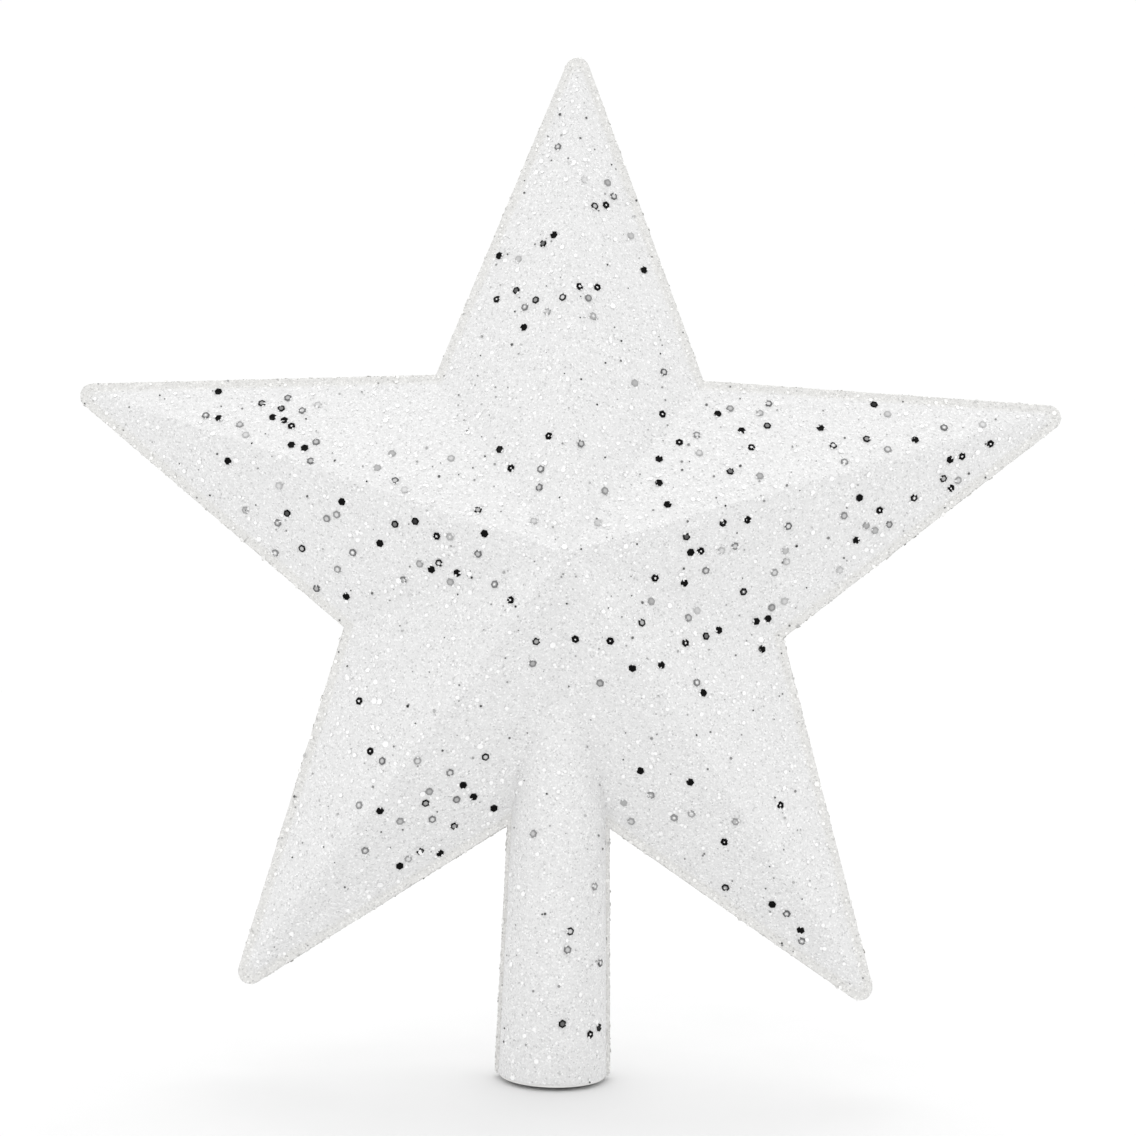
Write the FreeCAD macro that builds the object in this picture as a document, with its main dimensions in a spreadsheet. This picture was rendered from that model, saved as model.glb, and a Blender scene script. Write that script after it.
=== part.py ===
"""Tree-topper star: two moulded half shells, cemented at a rim flange and coated with glitter.

Frame: origin at the centre of the socket's mouth, +Z up, +X to the right of the front, front towards -Y.
Every half is drawn on the middle plane and grows towards -Y; the back half is turned round Z.
"""
import FreeCAD, Part
import math
import os
import random

import Sketcher

ARMS = 5
HALF_ARM_ANGLE = 180 / ARMS
BACK_TURN = FreeCAD.Rotation(FreeCAD.Vector(0, 0, 1), 180)

# Driving dimensions in millimetres and degrees, and counts of flakes.
DIMENSIONS = {
    "tip_circle": 106.0,          # sharp corners of the rim flange's tips
    "notch_circle": 45.0,         # inner corners of the rim flange
    "tip_round": 2.2,             # radius that rounds each tip of the flange
    "star_height": 98.8,          # star's centre above the socket's mouth
    "half_depth": 20.0,           # middle plane to the point where the facets meet
    "apex_blunt": 1.0,            # size of the small flat on that point
    "flange_width": 1.0,
    "flange_thickness": 0.8,
    "wall": 1.2,
    "hollow_round": 0.6,          # radius at the tips of the hollow
    "socket_radius": 8.8,
    "socket_land": 10.0,          # straight length of the socket at its mouth
    "mouth_wall": 1.4,
    "tube_draft": 1.4,            # degrees that the tube narrows per side
    "strip_width": 0.6,           # flange strips down the tube's two sides
    "cement_thickness": 0.2,
    "cement_setback": 0.2,
    "coat_thickness": 0.25,
    "coat_start": 0.5,            # bare plastic left above the tube's end
    "flake_width": 1.6,           # across corners
    "flake_thickness": 0.1,
    "flake_seat": 0.02,           # lacquer between the coat and a flake
    "flake_spacing": 2.0,         # least distance between the centres of two flakes
    "flake_margin": 0.3,          # clear space from a flake to a facet's border
}

# Flakes on each side of the star: how many are dark and pale, and how many more lie on the tube.
FLAKE_COUNTS = {"dark": 104, "pale": 96}
TUBE_FLAKE_COUNTS = {"dark": 4, "pale": 4}

# Where the flakes gather, as shares of tip_circle to the right of and above the star's centre.
FLAKE_CLUSTERS = [
    (0.34, -0.08), (0.30, 0.02), (0.58, 0.07), (0.16, -0.42), (0.01, -0.27), (-0.34, 0.06),
    (-0.54, 0.26), (-0.52, 0.02), (-0.18, 0.00), (-0.08, 0.48), (0.05, 0.63), (-0.03, 0.15),
    (0.26, 0.28), (-0.26, -0.45), (0.36, -0.63), (0.22, -0.16), (0.74, 0.22),
]
CLUSTER_SPREAD = 0.075
CLUSTER_SHARE = 0.72
FLAKE_SEEDS = {"front": 11, "back": 29}


def make_dimensions(document):
    sheet = document.addObject("Spreadsheet::Sheet", "dims")
    for row, (alias, value) in enumerate(DIMENSIONS.items(), 1):
        sheet.set(f"A{row}", alias)
        sheet.set(f"B{row}", str(value))
        sheet.setAlias(f"B{row}", alias)
    document.recompute()
    return sheet


def make_derived(document):
    """Sizes that follow from the sheet, as bound properties that the sketches read."""
    formulas = {
        # distance from the star's axis to each straight edge of the flange
        "edge_distance": "dims.tip_circle * dims.notch_circle * sin(36 deg) / sqrt(dims.tip_circle ^ 2 "
                         "+ dims.notch_circle ^ 2 - 2 * dims.tip_circle * dims.notch_circle * cos(36 deg))",
        # tangent, cosine and sine of the facets' slope against the middle plane
        "slope": "(dims.half_depth - dims.flange_thickness) / (edge_distance - dims.flange_width)",
        "slope_cosine": "1 / sqrt(1 + slope ^ 2)",
        "slope_sine": "slope * slope_cosine",
        # outlines like the flange's, each as a share of it
        "facet_scale": "1 - dims.flange_width / edge_distance",
        "hollow_scale": "(edge_distance - dims.flange_width + dims.flange_thickness / slope"
                        " - dims.wall / slope_sine) / edge_distance",
        "coat_scale": "1 + dims.coat_thickness / edge_distance",
        "coat_spread": "dims.coat_thickness * (1 - slope_cosine) / slope_sine",
        "coat_facet_scale": "facet_scale + coat_spread / edge_distance",
        "cement_scale": "1 - dims.cement_setback / edge_distance",
        # depths at which the facets of each skin meet
        "hollow_apex": "hollow_scale * edge_distance * slope",
        "coat_apex": "dims.half_depth + dims.coat_thickness / slope_cosine",
        # the tube's outside, which narrows all the way up to the star's centre
        "tube_mouth": "dims.socket_radius + dims.mouth_wall",
        "tube_top": "tube_mouth - dims.star_height * tan(dims.tube_draft * 1 deg)",
        "coat_floor_radius": "tube_mouth - dims.coat_start * tan(dims.tube_draft * 1 deg)",
        "socket_top": "tube_top - dims.wall",
    }
    derived = document.addObject("App::VarSet", "derived")
    for name, formula in formulas.items():
        derived.addProperty("App::PropertyFloat", name, "Derived")
        derived.setExpression(name, formula)
    document.recompute()
    return derived


def evaluate(body, expression):
    return float(body.evalExpression(expression))


def flat_sketch(body, name, depth, height="0"):
    """Empty sketch parallel to the middle plane: its x is right, its y is up."""
    sketch = body.newObject("Sketcher::SketchObject", name)
    middle_plane = next(item for item in body.Origin.OriginFeatures if item.Role == "XZ_Plane")
    sketch.AttachmentSupport = [(middle_plane, "")]
    sketch.MapMode = "FlatFace"
    sketch.setExpression("AttachmentOffset.Base.y", height)
    sketch.setExpression("AttachmentOffset.Base.z", depth)
    return sketch


def kite_sketch(body, name, outline, share, depth):
    """One arm seen from the front: a kite from the star's centre with its tip rounded."""
    tip, notch, rounding = (f"({size}) * ({share})" for size in outline)
    tip_now, notch_now, rounding_now = (evaluate(body, size) for size in (tip, notch, rounding))
    sketch = flat_sketch(body, name, depth, "dims.star_height")
    vector = FreeCAD.Vector
    arm = math.radians(HALF_ARM_ANGLE)
    centre = vector(0, 0, 0)
    right = vector(notch_now * math.sin(arm), notch_now * math.cos(arm), 0)
    left = vector(-right.x, right.y, 0)
    half_tip = math.atan2(right.x, tip_now - right.y)
    round_centre = vector(0, tip_now - rounding_now / math.sin(half_tip), 0)
    reach = vector(rounding_now * math.cos(half_tip), rounding_now * math.sin(half_tip), 0)
    circle = Part.Circle(round_centre, vector(0, 0, 1), rounding_now)
    sketch.addGeometry([
        Part.LineSegment(centre, right),
        Part.LineSegment(right, round_centre + reach),
        Part.ArcOfCircle(circle, half_tip, math.pi - half_tip),
        Part.LineSegment(round_centre + vector(-reach.x, reach.y, 0), left),
        Part.LineSegment(left, centre),
    ])
    sketch.addGeometry(Part.Point(vector(0, tip_now, 0)), True)
    rule = Sketcher.Constraint
    sketch.addConstraint([
        rule("Coincident", 0, 1, -1, 1), rule("Coincident", 4, 2, -1, 1),
        rule("Coincident", 0, 2, 1, 1), rule("Coincident", 3, 2, 4, 1),
        rule("Tangent", 1, 2, 2, 1), rule("Tangent", 2, 2, 3, 1),
        rule("Symmetric", 0, 2, 4, 1, -2), rule("PointOnObject", 2, 3, -2),
        rule("PointOnObject", 5, 1, -2), rule("PointOnObject", 5, 1, 1),
    ])
    sizes = [
        ("notch", rule("Distance", 0, notch_now), notch),
        ("tip", rule("DistanceY", -1, 1, 5, 1, tip_now), tip),
        ("tip_round", rule("Radius", 2, rounding_now), rounding),
        ("arm_angle", rule("Angle", 0, 1, 4, 2, 2 * arm), f"{2 * HALF_ARM_ANGLE} deg"),
    ]
    bind_constraints(sketch, sizes)
    return sketch


def bind_constraints(sketch, sizes):
    for name, constraint, expression in sizes:
        index = sketch.addConstraint(constraint)
        sketch.renameConstraint(index, name)
        sketch.setExpression(f"Constraints.{name}", expression)


def polygon_sketch(body, name, corners, depth="0"):
    """Closed outline on or right of the axis; each corner is a pair of expressions, "0" on an axis."""
    sketch = flat_sketch(body, name, depth)
    places = [FreeCAD.Vector(evaluate(body, x), evaluate(body, z), 0) for x, z in corners]
    count = len(corners)
    sketch.addGeometry([Part.LineSegment(places[i], places[(i + 1) % count]) for i in range(count)])
    rule = Sketcher.Constraint
    for i, (x, z) in enumerate(corners):
        sketch.addConstraint(rule("Coincident", i, 2, (i + 1) % count, 1))
        if x == "0":
            sketch.addConstraint(rule("PointOnObject", i, 1, -2))
        else:
            across = rule("DistanceX", -1, 1, i, 1, places[i].x)
            bind_constraints(sketch, [(f"across_{i}", across, x)])
        if z == "0":
            sketch.addConstraint(rule("PointOnObject", i, 1, -1))
        else:
            up = rule("DistanceY", -1, 1, i, 1, places[i].y)
            bind_constraints(sketch, [(f"up_{i}", up, z)])
    return sketch


def ring_of_arms(body, name, features, axis_sketch):
    pattern = body.newObject("PartDesign::PolarPattern", name)
    pattern.Originals = features
    pattern.Axis = (axis_sketch, ["N_Axis"])
    pattern.Angle = 360
    pattern.Occurrences = ARMS
    body.Tip = pattern
    body.Document.recompute()


def arm_prism(body, name, outline, depth, cut=False):
    """An arm's outline carried from the middle plane to the given depth."""
    sketch = kite_sketch(body, f"{name}_outline", outline, "1", "0")
    prism = body.newObject("PartDesign::Pocket" if cut else "PartDesign::Pad", name)
    prism.Profile = sketch
    prism.setExpression("Length", depth)
    prism.Reversed = cut
    body.Document.recompute()
    return prism, sketch


def arm_pyramid(body, name, outline, start, apex, cut=False):
    """An arm's two facets: its outline at the start depth, drawn in to a small flat near the apex."""
    tip = outline[0]
    share = f"dims.apex_blunt / ({tip})"
    base = kite_sketch(body, f"{name}_base", outline, "1", start)
    top = kite_sketch(body, f"{name}_top", outline, share, f"({apex}) - ({apex} - ({start})) * {share}")
    kind = "PartDesign::SubtractiveLoft" if cut else "PartDesign::AdditiveLoft"
    pyramid = body.newObject(kind, name)
    pyramid.Profile = base
    pyramid.Sections = [top]
    pyramid.Ruled = True
    body.Document.recompute()
    return pyramid, base


def half_tube(body, name, corners, cut=False):
    """Half a turned solid about the tube's axis, on the -Y side of the middle plane."""
    profile = polygon_sketch(body, f"{name}_profile", corners)
    kind = "PartDesign::Groove" if cut else "PartDesign::Revolution"
    turned = body.newObject(kind, name)
    turned.Profile = profile
    turned.ReferenceAxis = (profile, ["V_Axis"])
    turned.Angle = 360 if cut else 180
    turned.Reversed = not cut
    body.Document.recompute()
    return turned


def both_sides(body, name, feature):
    mirror = body.newObject("PartDesign::Mirrored", name)
    mirror.Originals = [feature]
    side_plane = next(item for item in body.Origin.OriginFeatures if item.Role == "YZ_Plane")
    mirror.MirrorPlane = (side_plane, [""])
    body.Tip = mirror
    body.Document.recompute()


def plate(body, name, corners, thickness, cut=False):
    """A flat plate on the middle plane, drawn right of the axis and mirrored to its left."""
    feature = body.newObject("PartDesign::Pocket" if cut else "PartDesign::Pad", name)
    feature.Profile = polygon_sketch(body, f"{name}_outline", corners)
    feature.setExpression("Length", thickness)
    feature.Reversed = cut
    body.Document.recompute()
    both_sides(body, f"{name}_both", feature)


def star_outline(scale, rounding):
    return f"dims.tip_circle * {scale}", f"dims.notch_circle * {scale}", rounding


def tube_corners(grow="0", floor="0"):
    """Half section of the tube's outside, grown outwards and started at a floor height."""
    floor_radius = "derived.tube_mouth" if floor == "0" else "derived.coat_floor_radius"
    return [("0", floor), (f"{floor_radius} + {grow}", floor),
            (f"derived.tube_top + {grow}", "dims.star_height"), ("0", "dims.star_height")]


SOCKET_CORNERS = [("0", "0"), ("dims.socket_radius", "0"), ("dims.socket_radius", "dims.socket_land"),
                  ("derived.socket_top", "dims.star_height"), ("0", "dims.star_height")]
FLANGE_OUTLINE = star_outline("1", "dims.tip_round")
FACET_OUTLINE = star_outline("derived.facet_scale", "dims.tip_round - dims.flange_width")
HOLLOW_OUTLINE = star_outline("derived.hollow_scale", "dims.hollow_round")
COAT_OUTLINE = star_outline("derived.coat_scale", "dims.tip_round + dims.coat_thickness")
COAT_FACET_OUTLINE = star_outline("derived.coat_facet_scale",
                                  "dims.tip_round - dims.flange_width + derived.coat_spread")
CEMENT_OUTLINE = star_outline("derived.cement_scale", "dims.tip_round - dims.cement_setback")


def shell_outside(body, cut=False):
    """Rim flange, facets, tube and the tube's flange strips: the outside of one half shell."""
    prism, sketch = arm_prism(body, "flange_arm", FLANGE_OUTLINE, "dims.flange_thickness", cut)
    pyramid, _ = arm_pyramid(body, "facet_arm", FACET_OUTLINE, "dims.flange_thickness",
                             "dims.half_depth", cut)
    ring_of_arms(body, "arms", [prism, pyramid], sketch)
    half_tube(body, "tube", tube_corners(), cut)
    plate(body, "strip", tube_corners("dims.strip_width"), "dims.flange_thickness", cut)


def make_body(document, label, side):
    body = document.addObject("PartDesign::Body", label)
    body.Label = label
    if side == "back":
        body.Placement.Rotation = BACK_TURN
    return body


def leave_cement_gap(body):
    """Take half the cement's thickness off the parting face."""
    reach = "dims.tip_circle + dims.coat_thickness"
    bottom, top = f"dims.star_height - ({reach})", f"dims.star_height + {reach}"
    corners = [("0", bottom), (reach, bottom), (reach, top), ("0", top)]
    plate(body, "cement_gap", corners, "dims.cement_thickness / 2", cut=True)


def make_shell(document, side):
    body = make_body(document, f"{side}_shell", side)
    shell_outside(body)
    pyramid, sketch = arm_pyramid(body, "hollow_arm", HOLLOW_OUTLINE, "0", "derived.hollow_apex", cut=True)
    ring_of_arms(body, "hollows", [pyramid], sketch)
    half_tube(body, "socket", SOCKET_CORNERS, cut=True)
    leave_cement_gap(body)
    return body


def make_cement(document):
    """Thin layer that joins the two flanges, half of it on each side of the middle plane."""
    body = make_body(document, "seam_cement", "front")
    body.setExpression("Placement.Base.y", "dims.cement_thickness / 2")
    layer, sketch = arm_prism(body, "layer_arm", CEMENT_OUTLINE, "dims.cement_thickness")
    ring_of_arms(body, "layer", [layer], sketch)
    strip = tube_corners("dims.strip_width - dims.cement_setback")
    plate(body, "strip", strip, "dims.cement_thickness")
    opening, sketch = arm_prism(body, "opening_arm", HOLLOW_OUTLINE, "dims.cement_thickness", cut=True)
    ring_of_arms(body, "opening", [opening], sketch)
    plate(body, "socket", SOCKET_CORNERS, "dims.cement_thickness", cut=True)
    return body


def make_coat(document, side):
    """Glitter layer over everything that a half shell shows, down to just above the tube's end."""
    body = make_body(document, f"{side}_glitter_coat", side)
    coat_top = "dims.flange_thickness + dims.coat_thickness"
    prism, sketch = arm_prism(body, "coat_flange_arm", COAT_OUTLINE, coat_top)
    pyramid, _ = arm_pyramid(body, "coat_facet_arm", COAT_FACET_OUTLINE, coat_top, "derived.coat_apex")
    ring_of_arms(body, "coat_arms", [prism, pyramid], sketch)
    half_tube(body, "coat_tube", tube_corners("dims.coat_thickness", "dims.coat_start"))
    strip = tube_corners("dims.strip_width + dims.coat_thickness", "dims.coat_start")
    plate(body, "coat_strip", strip, coat_top)
    shell_outside(body, cut=True)
    leave_cement_gap(body)
    return body


class StarSkin:
    """The coat's outer surface on one side, for laying flakes on it, in the half's own frame."""

    def __init__(self, sheet, derived):
        self.tip = sheet.tip_circle
        self.notch = sheet.notch_circle
        self.height = sheet.star_height
        self.slope = derived.slope
        self.apex = derived.coat_apex
        self.edge = derived.edge_distance * derived.coat_facet_scale
        self.keep_off = sheet.flake_width / 2 + sheet.flake_margin
        self.tube_radius = derived.tube_mouth + sheet.coat_thickness
        self.tube_narrowing = math.tan(math.radians(sheet.tube_draft))
        self.tube_floor = sheet.coat_start + 2 * self.keep_off
        self.tube_ceiling = sheet.star_height - sheet.notch_circle - self.keep_off
        arm = math.radians(HALF_ARM_ANGLE)
        # direction across the facet right of the upper arm's ridge, square to its outer edge
        along = (self.notch * math.sin(arm), self.notch * math.cos(arm) - self.tip)
        length = math.hypot(*along)
        self.across = (-along[1] / length, along[0] / length)

    def tube_radius_at(self, up):
        return self.tube_radius - self.tube_narrowing * up

    def facet_spot(self, right, above):
        """Place and outward direction on a facet, or None within keep_off of the facet's border."""
        arm = math.radians(HALF_ARM_ANGLE)
        turn = math.atan2(right, above)
        ridge = round(turn / (2 * arm)) * 2 * arm
        side = 1 if turn >= ridge else -1
        reach = math.hypot(right, above)
        from_ridge = abs(turn - ridge)
        sideways, outward = reach * math.sin(from_ridge), reach * math.cos(from_ridge)
        across = sideways * self.across[0] + outward * self.across[1]
        nearest = min(sideways, reach * math.sin(arm - from_ridge), self.edge - across)
        inside_tube = above < 0 and abs(right) < self.tube_radius + self.keep_off
        if nearest < self.keep_off or inside_tube and self.apex - self.slope * across < self.tube_radius:
            return None
        direction = math.atan2(self.across[0], self.across[1]) * side + ridge
        lean = math.hypot(1, self.slope)
        normal = FreeCAD.Vector(self.slope * math.sin(direction), -1, self.slope * math.cos(direction)) / lean
        place = FreeCAD.Vector(right, self.slope * across - self.apex, self.height + above)
        return place, normal

    def tube_spot(self, turn, up):
        """Place and outward direction on the tube, turned away from its front."""
        radius = self.tube_radius_at(up)
        outward = FreeCAD.Vector(math.sin(turn), -math.cos(turn), self.tube_narrowing)
        place = FreeCAD.Vector(radius * math.sin(turn), -radius * math.cos(turn), up)
        return place, outward / outward.Length


def scatter_spots(skin, spacing, side):
    """Seeded spots for all flakes of one side, gathered in clusters, dark ones and pale ones."""
    chance = random.Random(FLAKE_SEEDS[side])
    turn = 0 if side == "front" else 2 * math.radians(2 * HALF_ARM_ANGLE)
    taken = []

    def star_spot():
        if chance.random() < CLUSTER_SHARE:
            right, above = chance.choice(FLAKE_CLUSTERS)
            right += chance.gauss(0, CLUSTER_SPREAD)
            above += chance.gauss(0, CLUSTER_SPREAD)
        else:
            right, above = chance.uniform(-1, 1), chance.uniform(-0.85, 1)
        turned = (right * math.cos(turn) + above * math.sin(turn),
                  above * math.cos(turn) - right * math.sin(turn))
        return skin.facet_spot(turned[0] * skin.tip, turned[1] * skin.tip)

    def tube_spot():
        return skin.tube_spot(chance.uniform(-1.2, 1.2), chance.uniform(skin.tube_floor, skin.tube_ceiling))

    def gather(count, pick):
        found = []
        while len(found) < count:
            spot = pick()
            if spot and all((spot[0] - other).Length > spacing for other in taken):
                taken.append(spot[0])
                found.append((*spot, chance.uniform(0, 60)))
        return found

    return {shade: gather(FLAKE_COUNTS[shade], star_spot) + gather(TUBE_FLAKE_COUNTS[shade], tube_spot)
            for shade in FLAKE_COUNTS}


def make_flakes(document, sheet, skin, side):
    """Two groups of separate hexagonal foil flakes that lie on one side's glitter coat."""
    groups = []
    for shade, spots in scatter_spots(skin, sheet.flake_spacing, side).items():
        flakes = []
        for number, (place, normal, spin) in enumerate(spots, 1):
            flake = document.addObject("Part::Prism", f"{side}_{shade}_flake_{number}")
            flake.Polygon = 6
            flake.setExpression("Circumradius", "dims.flake_width / 2")
            flake.setExpression("Height", "dims.flake_thickness")
            lie_flat = FreeCAD.Rotation(FreeCAD.Vector(0, 0, 1), normal)
            turn = FreeCAD.Rotation(FreeCAD.Vector(0, 0, 1), spin)
            flake.Placement = FreeCAD.Placement(place + normal * sheet.flake_seat, lie_flat * turn)
            flakes.append(flake)
        group = document.addObject("Part::Compound", f"{side}_{shade}_flakes")
        group.Links = flakes
        if side == "back":
            group.Placement.Rotation = BACK_TURN
        groups.append(group)
    return groups


def check_and_export(document, subparts):
    failed = [item.Name for item in document.Objects
              if {"Invalid", "Error"} & set(item.State)]
    if failed:
        raise RuntimeError(f"objects failed to rebuild: {failed}")
    for subpart in subparts:
        if subpart.Shape.isNull() or not subpart.Shape.isValid():
            raise RuntimeError(f"{subpart.Label} has no valid shape")
    os.makedirs("parts", exist_ok=True)
    for subpart in subparts:
        subpart.Shape.exportStep(f"parts/{subpart.Label}.step")


def main():
    document = FreeCAD.newDocument("tree_topper_star")
    sheet = make_dimensions(document)
    derived = make_derived(document)
    skin = StarSkin(sheet, derived)
    subparts = [make_cement(document)]
    for side in ("front", "back"):
        subparts.append(make_shell(document, side))
        subparts.append(make_coat(document, side))
        subparts.extend(make_flakes(document, sheet, skin, side))
    document.recompute()
    check_and_export(document, subparts)


main()
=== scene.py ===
"""Glitter-coated tree-topper star above a pale studio floor.

The two moulded shells and the cement between them come from the frame. The glitter coats are remade as rough
skins with loose grains on them, and every large film flake is remade where its plain stand-in lies.
"""

import math

import bmesh
import bpy
import numpy as np
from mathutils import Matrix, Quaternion, Vector, noise
from mathutils.bvhtree import BVHTree


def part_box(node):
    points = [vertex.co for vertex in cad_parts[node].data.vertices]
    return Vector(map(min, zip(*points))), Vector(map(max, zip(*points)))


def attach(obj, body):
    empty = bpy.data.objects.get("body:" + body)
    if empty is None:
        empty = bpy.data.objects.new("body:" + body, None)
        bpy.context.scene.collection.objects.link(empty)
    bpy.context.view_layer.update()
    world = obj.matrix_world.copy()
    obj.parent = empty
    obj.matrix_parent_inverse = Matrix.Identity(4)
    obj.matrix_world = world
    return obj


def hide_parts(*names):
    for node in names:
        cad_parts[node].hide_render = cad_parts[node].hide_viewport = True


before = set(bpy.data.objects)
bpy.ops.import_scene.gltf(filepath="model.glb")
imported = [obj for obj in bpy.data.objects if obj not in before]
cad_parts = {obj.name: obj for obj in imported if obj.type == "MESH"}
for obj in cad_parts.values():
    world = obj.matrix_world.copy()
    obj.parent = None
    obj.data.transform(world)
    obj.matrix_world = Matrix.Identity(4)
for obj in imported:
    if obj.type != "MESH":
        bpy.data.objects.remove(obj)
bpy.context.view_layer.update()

MILLIMETRE = 0.001
SIDES = ("front", "back")
OUTWARD = {"front": -1, "back": 1}

# Camera: eye and aim in the star's own frame, in millimetres, and its roll in degrees.
CAMERA_EYE = (3.7, -296.9, 73.9)
CAMERA_AIM = (0.6, 0.0, 97.6)
CAMERA_ROLL = 1.42
CAMERA_LENS = 47.8

WORLD_STRENGTH = 1.01

# Wide suns: name, direction towards the light, spread in degrees and strength.
SUNS = (
    ("overhead", (0.05, 0.3, 1.0), 60, 0.8),
    ("key", (-0.5, -0.7, 0.8), 40, 0.12),
    ("fill", (0.1, -1.0, 0.0), 60, 0.25),
)

FLOOR_RADIUS = 6              # in metres
FLOOR_DROP = 0.8              # the floor lies this far below the mouth, for a thin dark line under the tube

# The coat's skin, in millimetres.
CONTACT = 0.05                # a face nearer to the shell than this lies against it
GRID_PITCH = 0.6
SHORTEST_EDGE = 0.1
EDGE_ROUND = 0.4
EDGE_SEGMENTS = 3
SWELL = 0.04
GRAIN_LIFT = 0.05
SEAM_CLEARANCE = 0.03
SEAM_SHADE_REACH = 2.0               # the painted seam shade is placed by shares of this distance from the seam

# How far the coat's faces turn outwards: the depth of a face's normal, 1 when it faces straight out.
RIDGE_FACING = 0.5            # both faces of a ridge turn out more than this
FRONT_FACING = 0.99           # the face in front of the outline turns out more than this
EDGE_FACING = 0.3             # and the one beside it less than this
STEEP = 0.72                  # a face that turns out less than this is cut along its depth too
RIDGE_ANGLE = 0.15            # least turn between two facets, in radians
FLAT_ANGLE = 0.4              # faces that turn less than this, in degrees, become one

# Loose pieces on each side of the star.
GRAINS = 21000
WHITE_DOTS = 1500
SPECKS = 460

# Grains along each millimetre of a line.
RIDGE_GRAINS = 1.5
OUTLINE_GRAINS = 0.9
OUTLINE_CLUMPS = 0.08
CLUMP_GROWTH = 2.2            # how many times as large as a grain a clump is

# Sizes in millimetres: the middle one, the spread of its logarithm, the least and the most.
GRAIN_SIZE = (0.36, 0.3, 0.2, 0.8)
DOT_SIZE = (0.62, 0.25, 0.4, 1.3)
SPECK_SIZE = (0.34, 0.3, 0.2, 0.6)
COVER_SIZE = (0.62, 0.2, 0.4, 0.9)
DOT_LIFT = 0.08               # how far dots and specks stand off the skin

# Most tilt off the surface, in radians.
LOOSE_TILT = 0.5
LYING_TILT = 0.3

FLAKE_RIM = 0.14              # width of a flake's rim, as a share of the flake's
FLAKE_DISH = 0.3              # depth of its middle, as a share of its thickness

# Grains stuck to the film flakes: how many there are for each flake, and the share of them at its rim. The
# rim's place and the grains' height above the flake's back are in half widths of the flake.
COVERS_PER_FLAKE = 2.2
RIM_SHARE = 0.85
RIM_PLACE = (0.72, 0.98)
COVER_HEIGHT = 0.12

# A flake that is nearer to the middle than this, and lower than this, lies on the tube. In millimetres.
TUBE_REACH = 12.5
TUBE_HEIGHT = 60.0

CELL_FILL = 0.42              # size of a copy in its cell of the texture map

SCATTER_SEED = 101
ROUGHNESS_SEED = 7


# ---------------------------------------------------------------- camera, light and floor

def make_camera():
    data = bpy.data.cameras.new("view")
    data.lens = CAMERA_LENS
    data.clip_start = 0.01
    camera = bpy.data.objects.new("view", data)
    bpy.context.scene.collection.objects.link(camera)
    eye, aim = Vector(CAMERA_EYE) * MILLIMETRE, Vector(CAMERA_AIM) * MILLIMETRE
    camera.rotation_mode = "QUATERNION"
    camera.location = eye
    level = (aim - eye).to_track_quat("-Z", "Y")
    camera.rotation_quaternion = level @ Quaternion((0, 0, 1), math.radians(CAMERA_ROLL))
    bpy.context.scene.camera = camera


def make_soft_light(name, towards_light, spread, strength):
    data = bpy.data.lights.new(name, "SUN")
    data.angle = math.radians(spread)
    data.energy = strength
    light = bpy.data.objects.new(name, data)
    bpy.context.scene.collection.objects.link(light)
    light.rotation_mode = "QUATERNION"
    light.rotation_quaternion = Vector(towards_light).to_track_quat("Z", "Y")


def make_studio():
    scene = bpy.context.scene
    scene.view_settings.view_transform = "Standard"
    world = bpy.data.worlds.new("white_studio")
    world.use_nodes = True
    background = world.node_tree.nodes["Background"]
    background.inputs["Color"].default_value = (1, 1, 1, 1)
    background.inputs["Strength"].default_value = WORLD_STRENGTH
    scene.world = world
    for sun in SUNS:
        make_soft_light(*sun)

    bm = bmesh.new()
    bmesh.ops.create_circle(bm, cap_ends=True, segments=96, radius=FLOOR_RADIUS)
    bmesh.ops.translate(bm, vec=(0, 0, -FLOOR_DROP * MILLIMETRE), verts=bm.verts)
    floor = add_piece("floor", bm)
    floor.data.materials.append(floor_paper())


# ---------------------------------------------------------------- materials

def new_material(name):
    material = bpy.data.materials.new(name)
    material.use_nodes = True
    tree = material.node_tree
    return material, tree, tree.nodes["Principled BSDF"]


def node(tree, kind, **settings):
    made = tree.nodes.new(kind)
    for key, value in settings.items():
        setattr(made, key, value)
    return made


def object_place(tree):
    return node(tree, "ShaderNodeTexCoord").outputs["Object"]


def ramp(tree, factor, stops):
    """Colours along a factor; each stop is a position with a grey or a colour."""
    made = node(tree, "ShaderNodeValToRGB")
    elements = made.color_ramp.elements
    while len(elements) < len(stops):
        elements.new(0.5)
    for element, (position, shade) in zip(elements, stops):
        element.position = position
        element.color = (*shade, 1) if isinstance(shade, tuple) else (shade, shade, shade, 1)
    tree.links.new(factor, made.inputs["Fac"])
    return made.outputs["Color"]


def bumped(tree, shader, height, strength, distance):
    bump = node(tree, "ShaderNodeBump")
    bump.inputs["Strength"].default_value = strength
    bump.inputs["Distance"].default_value = distance
    tree.links.new(height, bump.inputs["Height"])
    tree.links.new(bump.outputs["Normal"], shader.inputs["Normal"])


def voronoi(tree, scale):
    made = node(tree, "ShaderNodeTexVoronoi", feature="F1")
    made.inputs["Scale"].default_value = scale
    tree.links.new(object_place(tree), made.inputs["Vector"])
    return made


def noise_texture(tree, scale, detail=2.0):
    made = node(tree, "ShaderNodeTexNoise")
    made.inputs["Scale"].default_value = scale
    made.inputs["Detail"].default_value = detail
    tree.links.new(object_place(tree), made.inputs["Vector"])
    return made.outputs["Fac"]


def floor_paper():
    material, tree, shader = new_material("floor_paper")
    shader.inputs["Roughness"].default_value = 0.9
    shader.inputs["Specular IOR Level"].default_value = 0.1
    grain = noise_texture(tree, 60)
    tree.links.new(ramp(tree, grain, [(0, 0.80), (1, 0.82)]), shader.inputs["Base Color"])
    return material


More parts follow.
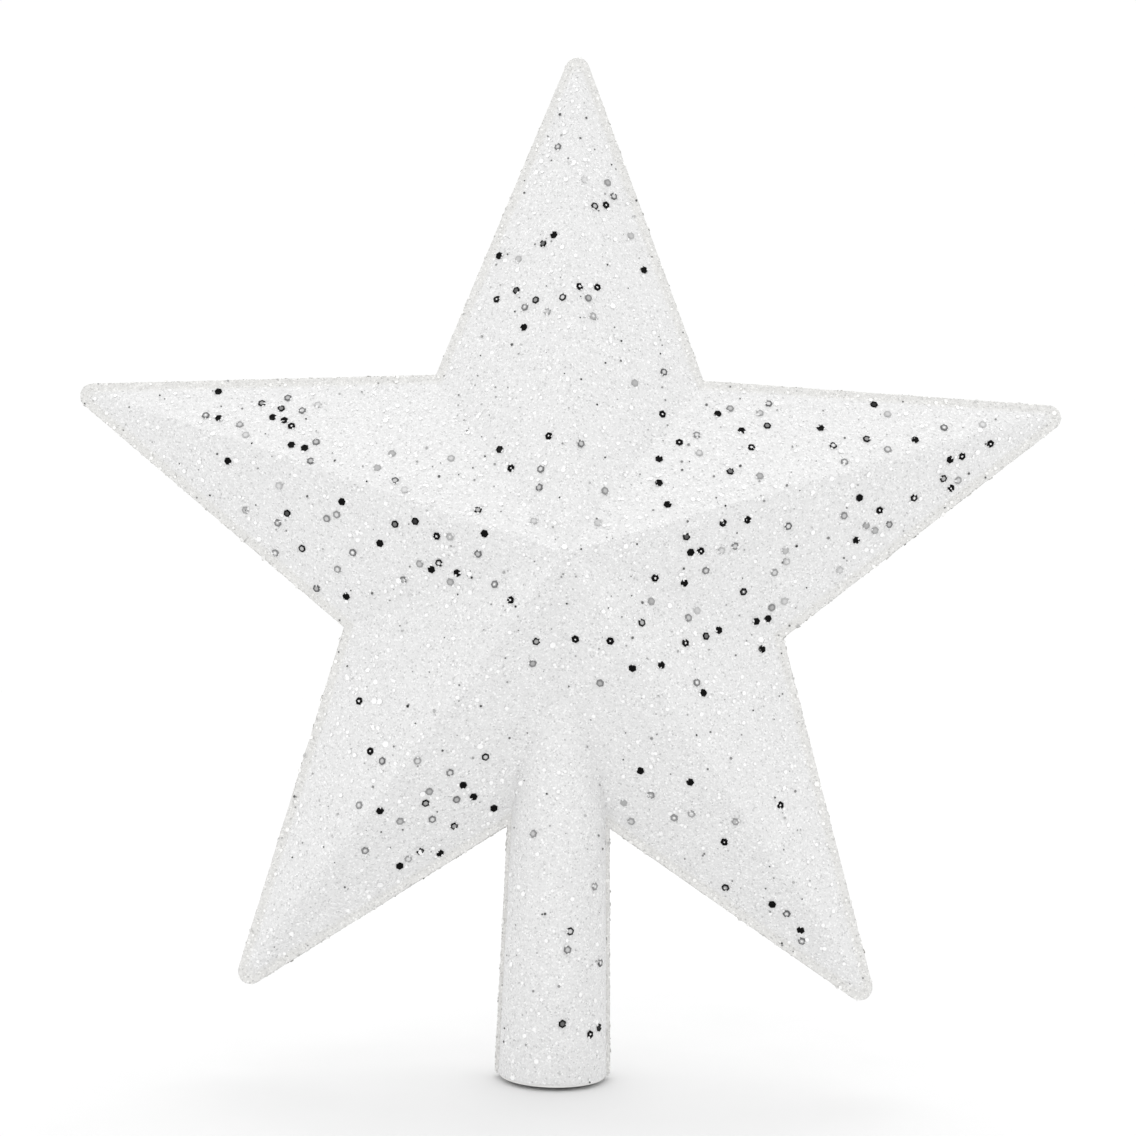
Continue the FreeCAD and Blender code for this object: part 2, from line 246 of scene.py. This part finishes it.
def moulded_plastic():
    material, tree, shader = new_material("moulded_white_plastic")
    shader.inputs["Roughness"].default_value = 0.38
    mottle = noise_texture(tree, 220, 3)
    tree.links.new(ramp(tree, mottle, [(0.3, (0.80, 0.80, 0.785)), (0.7, (0.87, 0.87, 0.86))]),
                   shader.inputs["Base Color"])
    bumped(tree, shader, noise_texture(tree, 900, 2), 0.25, 0.0001)
    return material


def hard_cement():
    material, tree, shader = new_material("hard_cement")
    shader.inputs["Roughness"].default_value = 0.2
    ripple = noise_texture(tree, 500, 2)
    tree.links.new(ramp(tree, ripple, [(0.3, (0.70, 0.70, 0.67)), (0.7, (0.82, 0.82, 0.80))]),
                   shader.inputs["Base Color"])
    bumped(tree, shader, ripple, 0.5, 0.0001)
    return material


def painted_seam_shade(tree, colour):
    """Painted shade towards the seam: the flange is a slightly darker, warmer band, and its edge a grey line
    of painted shadow along the seam.
    """
    place = node(tree, "ShaderNodeSeparateXYZ")
    tree.links.new(object_place(tree), place.inputs["Vector"])
    depth = node(tree, "ShaderNodeMath", operation="ABSOLUTE")
    tree.links.new(place.outputs["Y"], depth.inputs[0])
    measured = node(tree, "ShaderNodeMath", operation="MULTIPLY")
    tree.links.new(depth.outputs["Value"], measured.inputs[0])
    measured.inputs[1].default_value = 1 / (SEAM_SHADE_REACH * MILLIMETRE)
    # edge is the grey line of painted shadow along the seam, flange the slightly darker band of painted
    # shade on the flange
    edge, flange, facet = (0.66, 0.655, 0.63), (0.965, 0.96, 0.942), (1.0, 1.0, 1.0)
    stops = [(0.46, edge), (0.505, flange), (0.56, flange), (0.80, facet)]
    shade = ramp(tree, measured.outputs["Value"], stops)
    shaded = node(tree, "ShaderNodeMix", data_type="RGBA", blend_type="MULTIPLY")
    shaded.inputs["Factor"].default_value = 1
    tree.links.new(colour, shaded.inputs["A"])
    tree.links.new(shade, shaded.inputs["B"])
    return shaded.outputs["Result"]


def glitter_skin():
    """Packed fine grains: each cell has its own shade, and the cells' edges sink."""
    material, tree, shader = new_material("glitter_skin")
    cells = voronoi(tree, 3400)
    shade = node(tree, "ShaderNodeSeparateColor")
    tree.links.new(cells.outputs["Color"], shade.inputs["Color"])
    stops = [(0.0, 0.55), (0.06, 0.69), (0.3, 0.755), (0.85, 0.80), (1.0, 0.94)]
    colour = ramp(tree, shade.outputs["Red"], stops)
    # painted shade darkens the skin towards the seam
    tree.links.new(painted_seam_shade(tree, colour), shader.inputs["Base Color"])
    tree.links.new(ramp(tree, shade.outputs["Green"], [(0, 0.3), (1, 0.7)]), shader.inputs["Roughness"])
    bumped(tree, shader, cells.outputs["Distance"], 0.35, 0.00015)
    return material


def loose_grains():
    """White and clear grains; each carries its own tone."""
    material, tree, shader = new_material("loose_grains")
    tone = node(tree, "ShaderNodeAttribute", attribute_name="tone")
    stops = [(0.0, 0.46), (0.08, 0.66), (0.25, 0.78), (0.55, 0.88), (1.0, 1.0)]
    colour = ramp(tree, tone.outputs["Fac"], stops)
    # painted shade darkens the grains towards the seam
    tree.links.new(painted_seam_shade(tree, colour), shader.inputs["Base Color"])
    shader.inputs["Roughness"].default_value = 0.3
    bumped(tree, shader, noise_texture(tree, 3500, 2), 0.2, 0.0001)
    return material


def film_flake(name, stops, rim, roughness):
    """Cut film: each flake has its own middle shade inside a darker rim."""
    material, tree, shader = new_material(name)
    tone = node(tree, "ShaderNodeAttribute", attribute_name="tone")
    edge = node(tree, "ShaderNodeAttribute", attribute_name="edge")
    rimmed = node(tree, "ShaderNodeMix", data_type="RGBA")
    tree.links.new(edge.outputs["Fac"], rimmed.inputs["Factor"])
    tree.links.new(ramp(tree, tone.outputs["Fac"], stops), rimmed.inputs["A"])
    rimmed.inputs["B"].default_value = (rim, rim, rim * 1.03, 1)
    tree.links.new(rimmed.outputs["Result"], shader.inputs["Base Color"])
    shader.inputs["Roughness"].default_value = roughness
    shader.inputs["Specular IOR Level"].default_value = 0.06
    bumped(tree, shader, noise_texture(tree, 1400, 2), 0.2, 0.0001)
    return material


# ---------------------------------------------------------------- building helpers

def add_piece(name, bm):
    mesh = bpy.data.meshes.new(name)
    bm.to_mesh(mesh)
    bm.free()
    piece = bpy.data.objects.new(name, mesh)
    bpy.context.scene.collection.objects.link(piece)
    return piece


def merged_copy(cad_node):
    bm = bmesh.new()
    bm.from_mesh(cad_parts[cad_node].data)
    bmesh.ops.remove_doubles(bm, verts=bm.verts, dist=1e-6)
    return bm


def finish_piece(piece, slot, material, *replaced):
    piece.data.materials.append(material)
    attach(piece, "root")
    if replaced:
        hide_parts(*replaced)
    return piece


# ---------------------------------------------------------------- glitter coats

def mark_outer_faces(bm, side):
    """Numbers the coat's faces: 1 for those on its outside, 0 for those against its shell."""
    shell = merged_copy(f"{side}_shell")
    under = BVHTree.FromBMesh(shell)
    shell.free()
    for face in bm.faces:
        face.material_index = under.find_nearest(face.calc_center_median())[3] > CONTACT * MILLIMETRE


def is_outer(part):
    return all(face.material_index for face in part.link_faces)


def long_edges(bm, side):
    """The coat's ridges, where two facets meet, and its outline, where the flange turns back."""
    ridges, outline = [], []
    for edge in bm.edges:
        if not (edge.is_manifold and edge.is_convex and is_outer(edge)):
            continue
        facing = sorted(face.normal.y * OUTWARD[side] for face in edge.link_faces)
        if facing[0] > RIDGE_FACING and edge.calc_face_angle() > RIDGE_ANGLE:
            ridges.append(edge)
        if facing[0] < EDGE_FACING and facing[1] > FRONT_FACING:
            outline.append(edge)
    return ridges, outline


def round_edges(bm, edges):
    bmesh.ops.bevel(bm, geom=edges, offset=EDGE_ROUND * MILLIMETRE, offset_type="OFFSET",
                    segments=EDGE_SEGMENTS, profile=0.5, material=-1, affect="EDGES", clamp_overlap=True)


def slice_evenly(bm, geometry, normal, low, high):
    """Cuts the geometry by evenly spaced planes; returns what it has become."""
    count = max(2, round((high - low) / (GRID_PITCH * MILLIMETRE)))
    for step in range(1, count):
        place = Vector(normal) * (low + (high - low) * step / count)
        cut = bmesh.ops.bisect_plane(bm, geom=geometry, dist=1e-7, plane_co=place, plane_no=normal)
        geometry = cut["geom"]
    return geometry


def with_edges(faces):
    """The faces with their edges and corners, each once and always in the same order."""
    parts = list(faces)
    for face in faces:
        parts.extend(face.edges)
        parts.extend(face.verts)
    return list(dict.fromkeys(parts))


def cut_finely(bm, side):
    """Cuts the outer faces into small ones: upright and level cuts, and cuts along the walls of the tube."""
    low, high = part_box(f"{side}_glitter_coat")
    geometry = with_edges([face for face in bm.faces if face.material_index])
    geometry = slice_evenly(bm, geometry, (1, 0, 0), low.x, high.x)
    slice_evenly(bm, geometry, (0, 0, 1), low.z, high.z)
    steep = [face for face in bm.faces if face.material_index and abs(face.normal.y) < STEEP]
    reach = max(abs(corner.co.y) for face in steep for corner in face.verts)
    near, far = sorted((0, OUTWARD[side] * reach))
    slice_evenly(bm, with_edges(steep), (0, 1, 0), near, far)
    bmesh.ops.triangulate(bm, faces=bm.faces)
    skin = [vert for vert in bm.verts if is_outer(vert)]
    bmesh.ops.remove_doubles(bm, verts=skin, dist=SHORTEST_EDGE * MILLIMETRE)


def ends(edge):
    """An edge's two ends and the mean of its faces' normals."""
    normal = sum((face.normal for face in edge.link_faces), Vector()).normalized()
    return [*edge.verts[0].co], [*edge.verts[1].co], [*normal]


def coat_skin(side):
    """The coat as a dense mesh, and the lines of its ridges and outline before it was cut up."""
    bm = merged_copy(f"{side}_glitter_coat")
    bmesh.ops.dissolve_limit(bm, angle_limit=math.radians(FLAT_ANGLE), verts=bm.verts, edges=bm.edges)
    bm.normal_update()
    mark_outer_faces(bm, side)
    ridges, outline = long_edges(bm, side)
    lines = {"ridges": [ends(edge) for edge in ridges], "outline": [ends(edge) for edge in outline]}
    round_edges(bm, outline)
    cut_finely(bm, side)
    return bm, lines


def roughen(bm, side, seed):
    """Swells the skin unevenly and pushes single corners out and in like packed grains."""
    chance = np.random.default_rng(seed)
    lifts = chance.uniform(-1, 1, len(bm.verts)) * GRAIN_LIFT
    bm.normal_update()
    nearest = SEAM_CLEARANCE * MILLIMETRE
    for vert, lift in zip(bm.verts, lifts):
        if not is_outer(vert):
            continue
        broad = (noise.noise(vert.co * 160) + 0.5) * SWELL
        vert.co += vert.normal * (lift + broad) * MILLIMETRE
        if vert.co.y * OUTWARD[side] < nearest:
            vert.co.y = nearest * OUTWARD[side]
    bm.normal_update()


def surface_samples(bm, count, chance):
    """Seeded places on the coat's outer faces, spread by area, with their normals."""
    outside = [face for face in bm.faces if face.material_index]
    corners = np.array([[corner.co[:] for corner in face.verts] for face in outside])
    normals = np.array([face.normal[:] for face in outside])
    areas = np.array([face.calc_area() for face in outside])
    picked = chance.choice(len(outside), count, p=areas / areas.sum())
    mix = chance.dirichlet((1, 1, 1), count)
    return (corners[picked] * mix[:, :, None]).sum(1), normals[picked]


def line_samples(lines, chance, per_millimetre):
    """Seeded places along lines, with their normals."""
    starts, stops, normals = (np.array([line[i] for line in lines]) for i in range(3))
    lengths = np.linalg.norm(stops - starts, axis=1)
    count = int(lengths.sum() / MILLIMETRE * per_millimetre)
    picked = chance.choice(len(lines), count, p=lengths / lengths.sum())
    along = chance.random((count, 1))
    return starts[picked] * (1 - along) + stops[picked] * along, normals[picked]


# ---------------------------------------------------------------- scattered grains and flakes

def crystal():
    """A grain: a flattened crystal one unit across."""
    bm = bmesh.new()
    bmesh.ops.create_uvsphere(bm, u_segments=4, v_segments=2, radius=0.5)
    bmesh.ops.scale(bm, vec=(1, 0.8, 0.42), verts=bm.verts)
    return bm


def hexagon(thickness=0.1):
    """A cut film flake one unit across its corners: a raised rim round a dished middle."""
    bm = bmesh.new()
    bmesh.ops.create_cone(bm, cap_ends=True, segments=6, radius1=0.5, radius2=0.48, depth=thickness)
    bmesh.ops.translate(bm, vec=(0, 0, thickness / 2), verts=bm.verts)
    top = max(bm.faces, key=lambda face: face.calc_center_median().z)
    bmesh.ops.inset_region(bm, faces=[top], thickness=FLAKE_RIM)
    bmesh.ops.inset_region(bm, faces=[top], thickness=FLAKE_RIM, depth=-thickness * FLAKE_DISH)
    return bm


def frames_on(normals, spins, tilts, leans):
    """Rotation matrices that lay a piece's Z along each normal, spun about it and tilted off it."""
    helper = np.where(np.abs(normals[:, 2:3]) > 0.9, [[1.0, 0, 0]], [[0, 0, 1.0]])
    across = np.cross(helper, normals)
    across /= np.linalg.norm(across, axis=1, keepdims=True)
    along = np.cross(normals, across)
    lean = np.cos(leans)[:, None] * across + np.sin(leans)[:, None] * along
    up = normals * np.cos(tilts)[:, None] + lean * np.sin(tilts)[:, None]
    side = np.cos(spins)[:, None] * across + np.sin(spins)[:, None] * along
    side -= up * (side * up).sum(1, keepdims=True)
    side /= np.linalg.norm(side, axis=1, keepdims=True)
    return np.stack([side, np.cross(up, side), up], axis=2)


def lay_out_copies(mesh, shape, faces, undersides, count):
    """A texture map with one cell for each copy: tops in its left half, undersides in its right."""
    cells = math.ceil(math.sqrt(count))
    flat = shape[faces][:, :, :2] * CELL_FILL
    flat[:, :, 0] = flat[:, :, 0] / 2 + np.where(undersides, 0.75, 0.25)[:, None]
    flat[:, :, 1] += 0.5
    number = np.arange(count)
    origin = np.stack([number % cells, number // cells], axis=1)
    places = (origin[:, None, None, :] + flat[None]) / cells
    layer = mesh.uv_layers.new(name="OFBake")
    layer.uv.foreach_set("vector", places.reshape(-1, 2).astype(np.float32).ravel())


def scatter(name, pattern, places, turns, sizes, tones, rims=None):
    """One piece made of many copies of a small shape; each copy keeps its own tone and rim strength."""
    rims = np.zeros(len(places)) if rims is None else rims
    bmesh.ops.triangulate(pattern, faces=pattern.faces)
    pattern.verts.index_update()
    shape = np.array([vert.co[:] for vert in pattern.verts])
    faces = np.array([[vert.index for vert in face.verts] for face in pattern.faces])
    undersides = np.array([face.normal.z < -0.5 for face in pattern.faces])
    pattern.free()
    count = len(places)
    points = np.einsum("kij,vj->kvi", turns, shape) * sizes[:, None, None] + places[:, None, :]
    corners = faces[None] + (np.arange(count) * len(shape))[:, None, None]
    mesh = bpy.data.meshes.new(name)
    mesh.from_pydata(points.reshape(-1, 3), [], corners.reshape(-1, 3))
    tone = mesh.attributes.new("tone", "FLOAT", "POINT")
    tone.data.foreach_set("value", np.repeat(tones, len(shape)).astype(np.float32))
    edge = mesh.attributes.new("edge", "FLOAT", "POINT")
    outer = np.hypot(shape[:, 0], shape[:, 1]) > 0.5 - 1.5 * FLAKE_RIM
    edge.data.foreach_set("value", (rims[:, None] * outer[None, :]).astype(np.float32).ravel())
    lay_out_copies(mesh, shape, faces, undersides, count)
    piece = bpy.data.objects.new(name, mesh)
    bpy.context.scene.collection.objects.link(piece)
    return piece


def flake_places(cad_node):
    """Centre, outward normal and the line from centre to corner of every flake of a CAD group."""
    side = cad_node.split("_")[0]
    bm = merged_copy(cad_node)
    found, seen = [], set()
    for start in bm.verts:
        if start in seen:
            continue
        island, ahead = [], [start]
        while ahead:
            vert = ahead.pop()
            if vert not in seen:
                seen.add(vert)
                island.append(vert)
                ahead.extend(edge.other_vert(vert) for edge in vert.link_edges)
        centre = sum((vert.co for vert in island), Vector()) / len(island)
        faces = [face for vert in island for face in vert.link_faces]
        largest = max(faces, key=lambda face: face.calc_area())
        normal = largest.normal.copy()
        away = Vector((0, OUTWARD[side], 0))
        if abs(centre.x) < TUBE_REACH * MILLIMETRE and centre.z < TUBE_HEIGHT * MILLIMETRE:
            away = Vector((centre.x, centre.y, 0))
        if normal.dot(away) < 0:
            normal.negate()
        corner = max(island, key=lambda vert: (vert.co - centre).length).co - centre
        found.append((centre, normal, corner - normal * corner.dot(normal)))
    bm.free()
    return found


def random_turns(normals, chance, most_tilt):
    """Seeded turns that lay a copy on each normal, spun freely and tilted a little."""
    count = len(normals)
    return frames_on(normals, chance.uniform(0, 2 * math.pi, count), chance.uniform(0, most_tilt, count),
                     chance.uniform(0, 2 * math.pi, count))


def grain_sizes(chance, count, middle, spread, least, most):
    return np.clip(chance.lognormal(math.log(middle), spread, count), least, most) * MILLIMETRE


def make_coats(grain_material):
    skin_material = glitter_skin()
    speck_material = film_flake("dark_specks", [(0, 0.02), (0.4, 0.15), (1, 0.5)], 0.02, 0.3)
    for number, side in enumerate(SIDES):
        chance = np.random.default_rng(SCATTER_SEED + number)
        bm, lines = coat_skin(side)
        roughen(bm, side, ROUGHNESS_SEED + number)

        spots = [surface_samples(bm, GRAINS, chance),
                 line_samples(lines["ridges"], chance, RIDGE_GRAINS),
                 line_samples(lines["outline"], chance, OUTLINE_GRAINS),
                 line_samples(lines["outline"], chance, OUTLINE_CLUMPS)]
        places, normals = (np.concatenate([spot[i] for spot in spots]) for i in range(2))
        count = len(places)
        sizes = grain_sizes(chance, count, *GRAIN_SIZE)
        clumps = len(spots[-1][0])
        sizes[-clumps:] *= CLUMP_GROWTH
        grains = scatter(f"{side}_loose_grains", crystal(), places,
                         random_turns(normals, chance, LOOSE_TILT), sizes, chance.random(count))
        finish_piece(grains, "white_glitter", grain_material)

        places, normals = surface_samples(bm, WHITE_DOTS, chance)
        dots = scatter(f"{side}_white_flakes", hexagon(), places + normals * DOT_LIFT * MILLIMETRE,
                       random_turns(normals, chance, LYING_TILT),
                       grain_sizes(chance, WHITE_DOTS, *DOT_SIZE), chance.uniform(0.85, 1.0, WHITE_DOTS))
        finish_piece(dots, "white_glitter", grain_material)

        places, normals = surface_samples(bm, SPECKS, chance)
        specks = scatter(f"{side}_dark_specks", hexagon(0.2), places + normals * DOT_LIFT * MILLIMETRE,
                         random_turns(normals, chance, LOOSE_TILT),
                         grain_sizes(chance, SPECKS, *SPECK_SIZE), chance.random(SPECKS))
        finish_piece(specks, "dark_foil", speck_material)

        # the skin has one material, so the numbers that told outside from inside go
        for face in bm.faces:
            face.material_index = 0
        skin = add_piece(f"{side}_glitter_skin", bm)
        finish_piece(skin, "white_glitter", skin_material, f"{side}_glitter_coat")


def covering_grains(centres, normals, turns, reach, chance):
    """Places of the white grains that stick to the flakes: most at a rim, some in the middle."""
    picked = chance.choice(len(centres), int(len(centres) * COVERS_PER_FLAKE))
    count = len(picked)
    angle = chance.uniform(0, 2 * math.pi, count)
    out = np.where(chance.random(count) < RIM_SHARE, chance.uniform(*RIM_PLACE, count), 0.0)
    shift = np.stack([np.cos(angle) * out, np.sin(angle) * out, np.full(count, COVER_HEIGHT)], axis=1)
    places = centres[picked] + np.einsum("kij,kj->ki", turns[picked], shift) * reach[picked]
    return places, normals[picked]


def make_film_flakes(grain_material):
    # Both films stand for one silver film: the near-black colour is a painted reflection of a dark surround,
    # the pale grey one a painted reflection of a white surround.
    materials = {
        "dark": film_flake("silver_film_painted_dark_reflection", [(0.7, 0.003), (0.82, 0.15), (1, 0.7)], 0.003, 0.4),
        "pale": film_flake("silver_film_painted_pale_reflection", [(0, 0.42), (0.5, 0.56), (1, 0.72)], 0.10, 0.35),
    }
    least_rim = {"dark": 1.0, "pale": 0.15}
    for side in SIDES:
        covers = []
        for shade, material in materials.items():
            cad_node = f"{side}_{shade}_flakes"
            chance = np.random.default_rng(sum(map(ord, cad_node)))
            flakes = flake_places(cad_node)
            count = len(flakes)
            centres, normals, corners = (np.array([flake[i][:] for flake in flakes]) for i in range(3))
            reach = np.linalg.norm(corners, axis=1, keepdims=True)
            sides = corners / reach
            turns = np.stack([sides, np.cross(normals, sides), normals], axis=2)
            group = scatter(f"{side}_{shade}_film_flakes", hexagon(), centres, turns, 2 * reach[:, 0],
                            chance.random(count), chance.uniform(least_rim[shade], 1, count))
            finish_piece(group, f"{shade}_foil", material, cad_node)
            covers.append(covering_grains(centres, normals, turns, reach, chance))
        places, normals = (np.concatenate([cover[i] for cover in covers]) for i in range(2))
        count = len(places)
        grains = scatter(f"{side}_covering_grains", crystal(), places,
                         random_turns(normals, chance, LYING_TILT),
                         grain_sizes(chance, count, *COVER_SIZE), chance.uniform(0.2, 0.7, count))
        finish_piece(grains, "white_glitter", grain_material)


def dress_frame():
    plastic, cement = moulded_plastic(), hard_cement()
    for cad_node, material in (("front_shell", plastic), ("back_shell", plastic), ("seam_cement", cement)):
        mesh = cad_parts[cad_node].data
        mesh.materials.clear()
        mesh.materials.append(material)


make_camera()
make_studio()
dress_frame()
white_grains = loose_grains()
make_coats(white_grains)
make_film_flakes(white_grains)
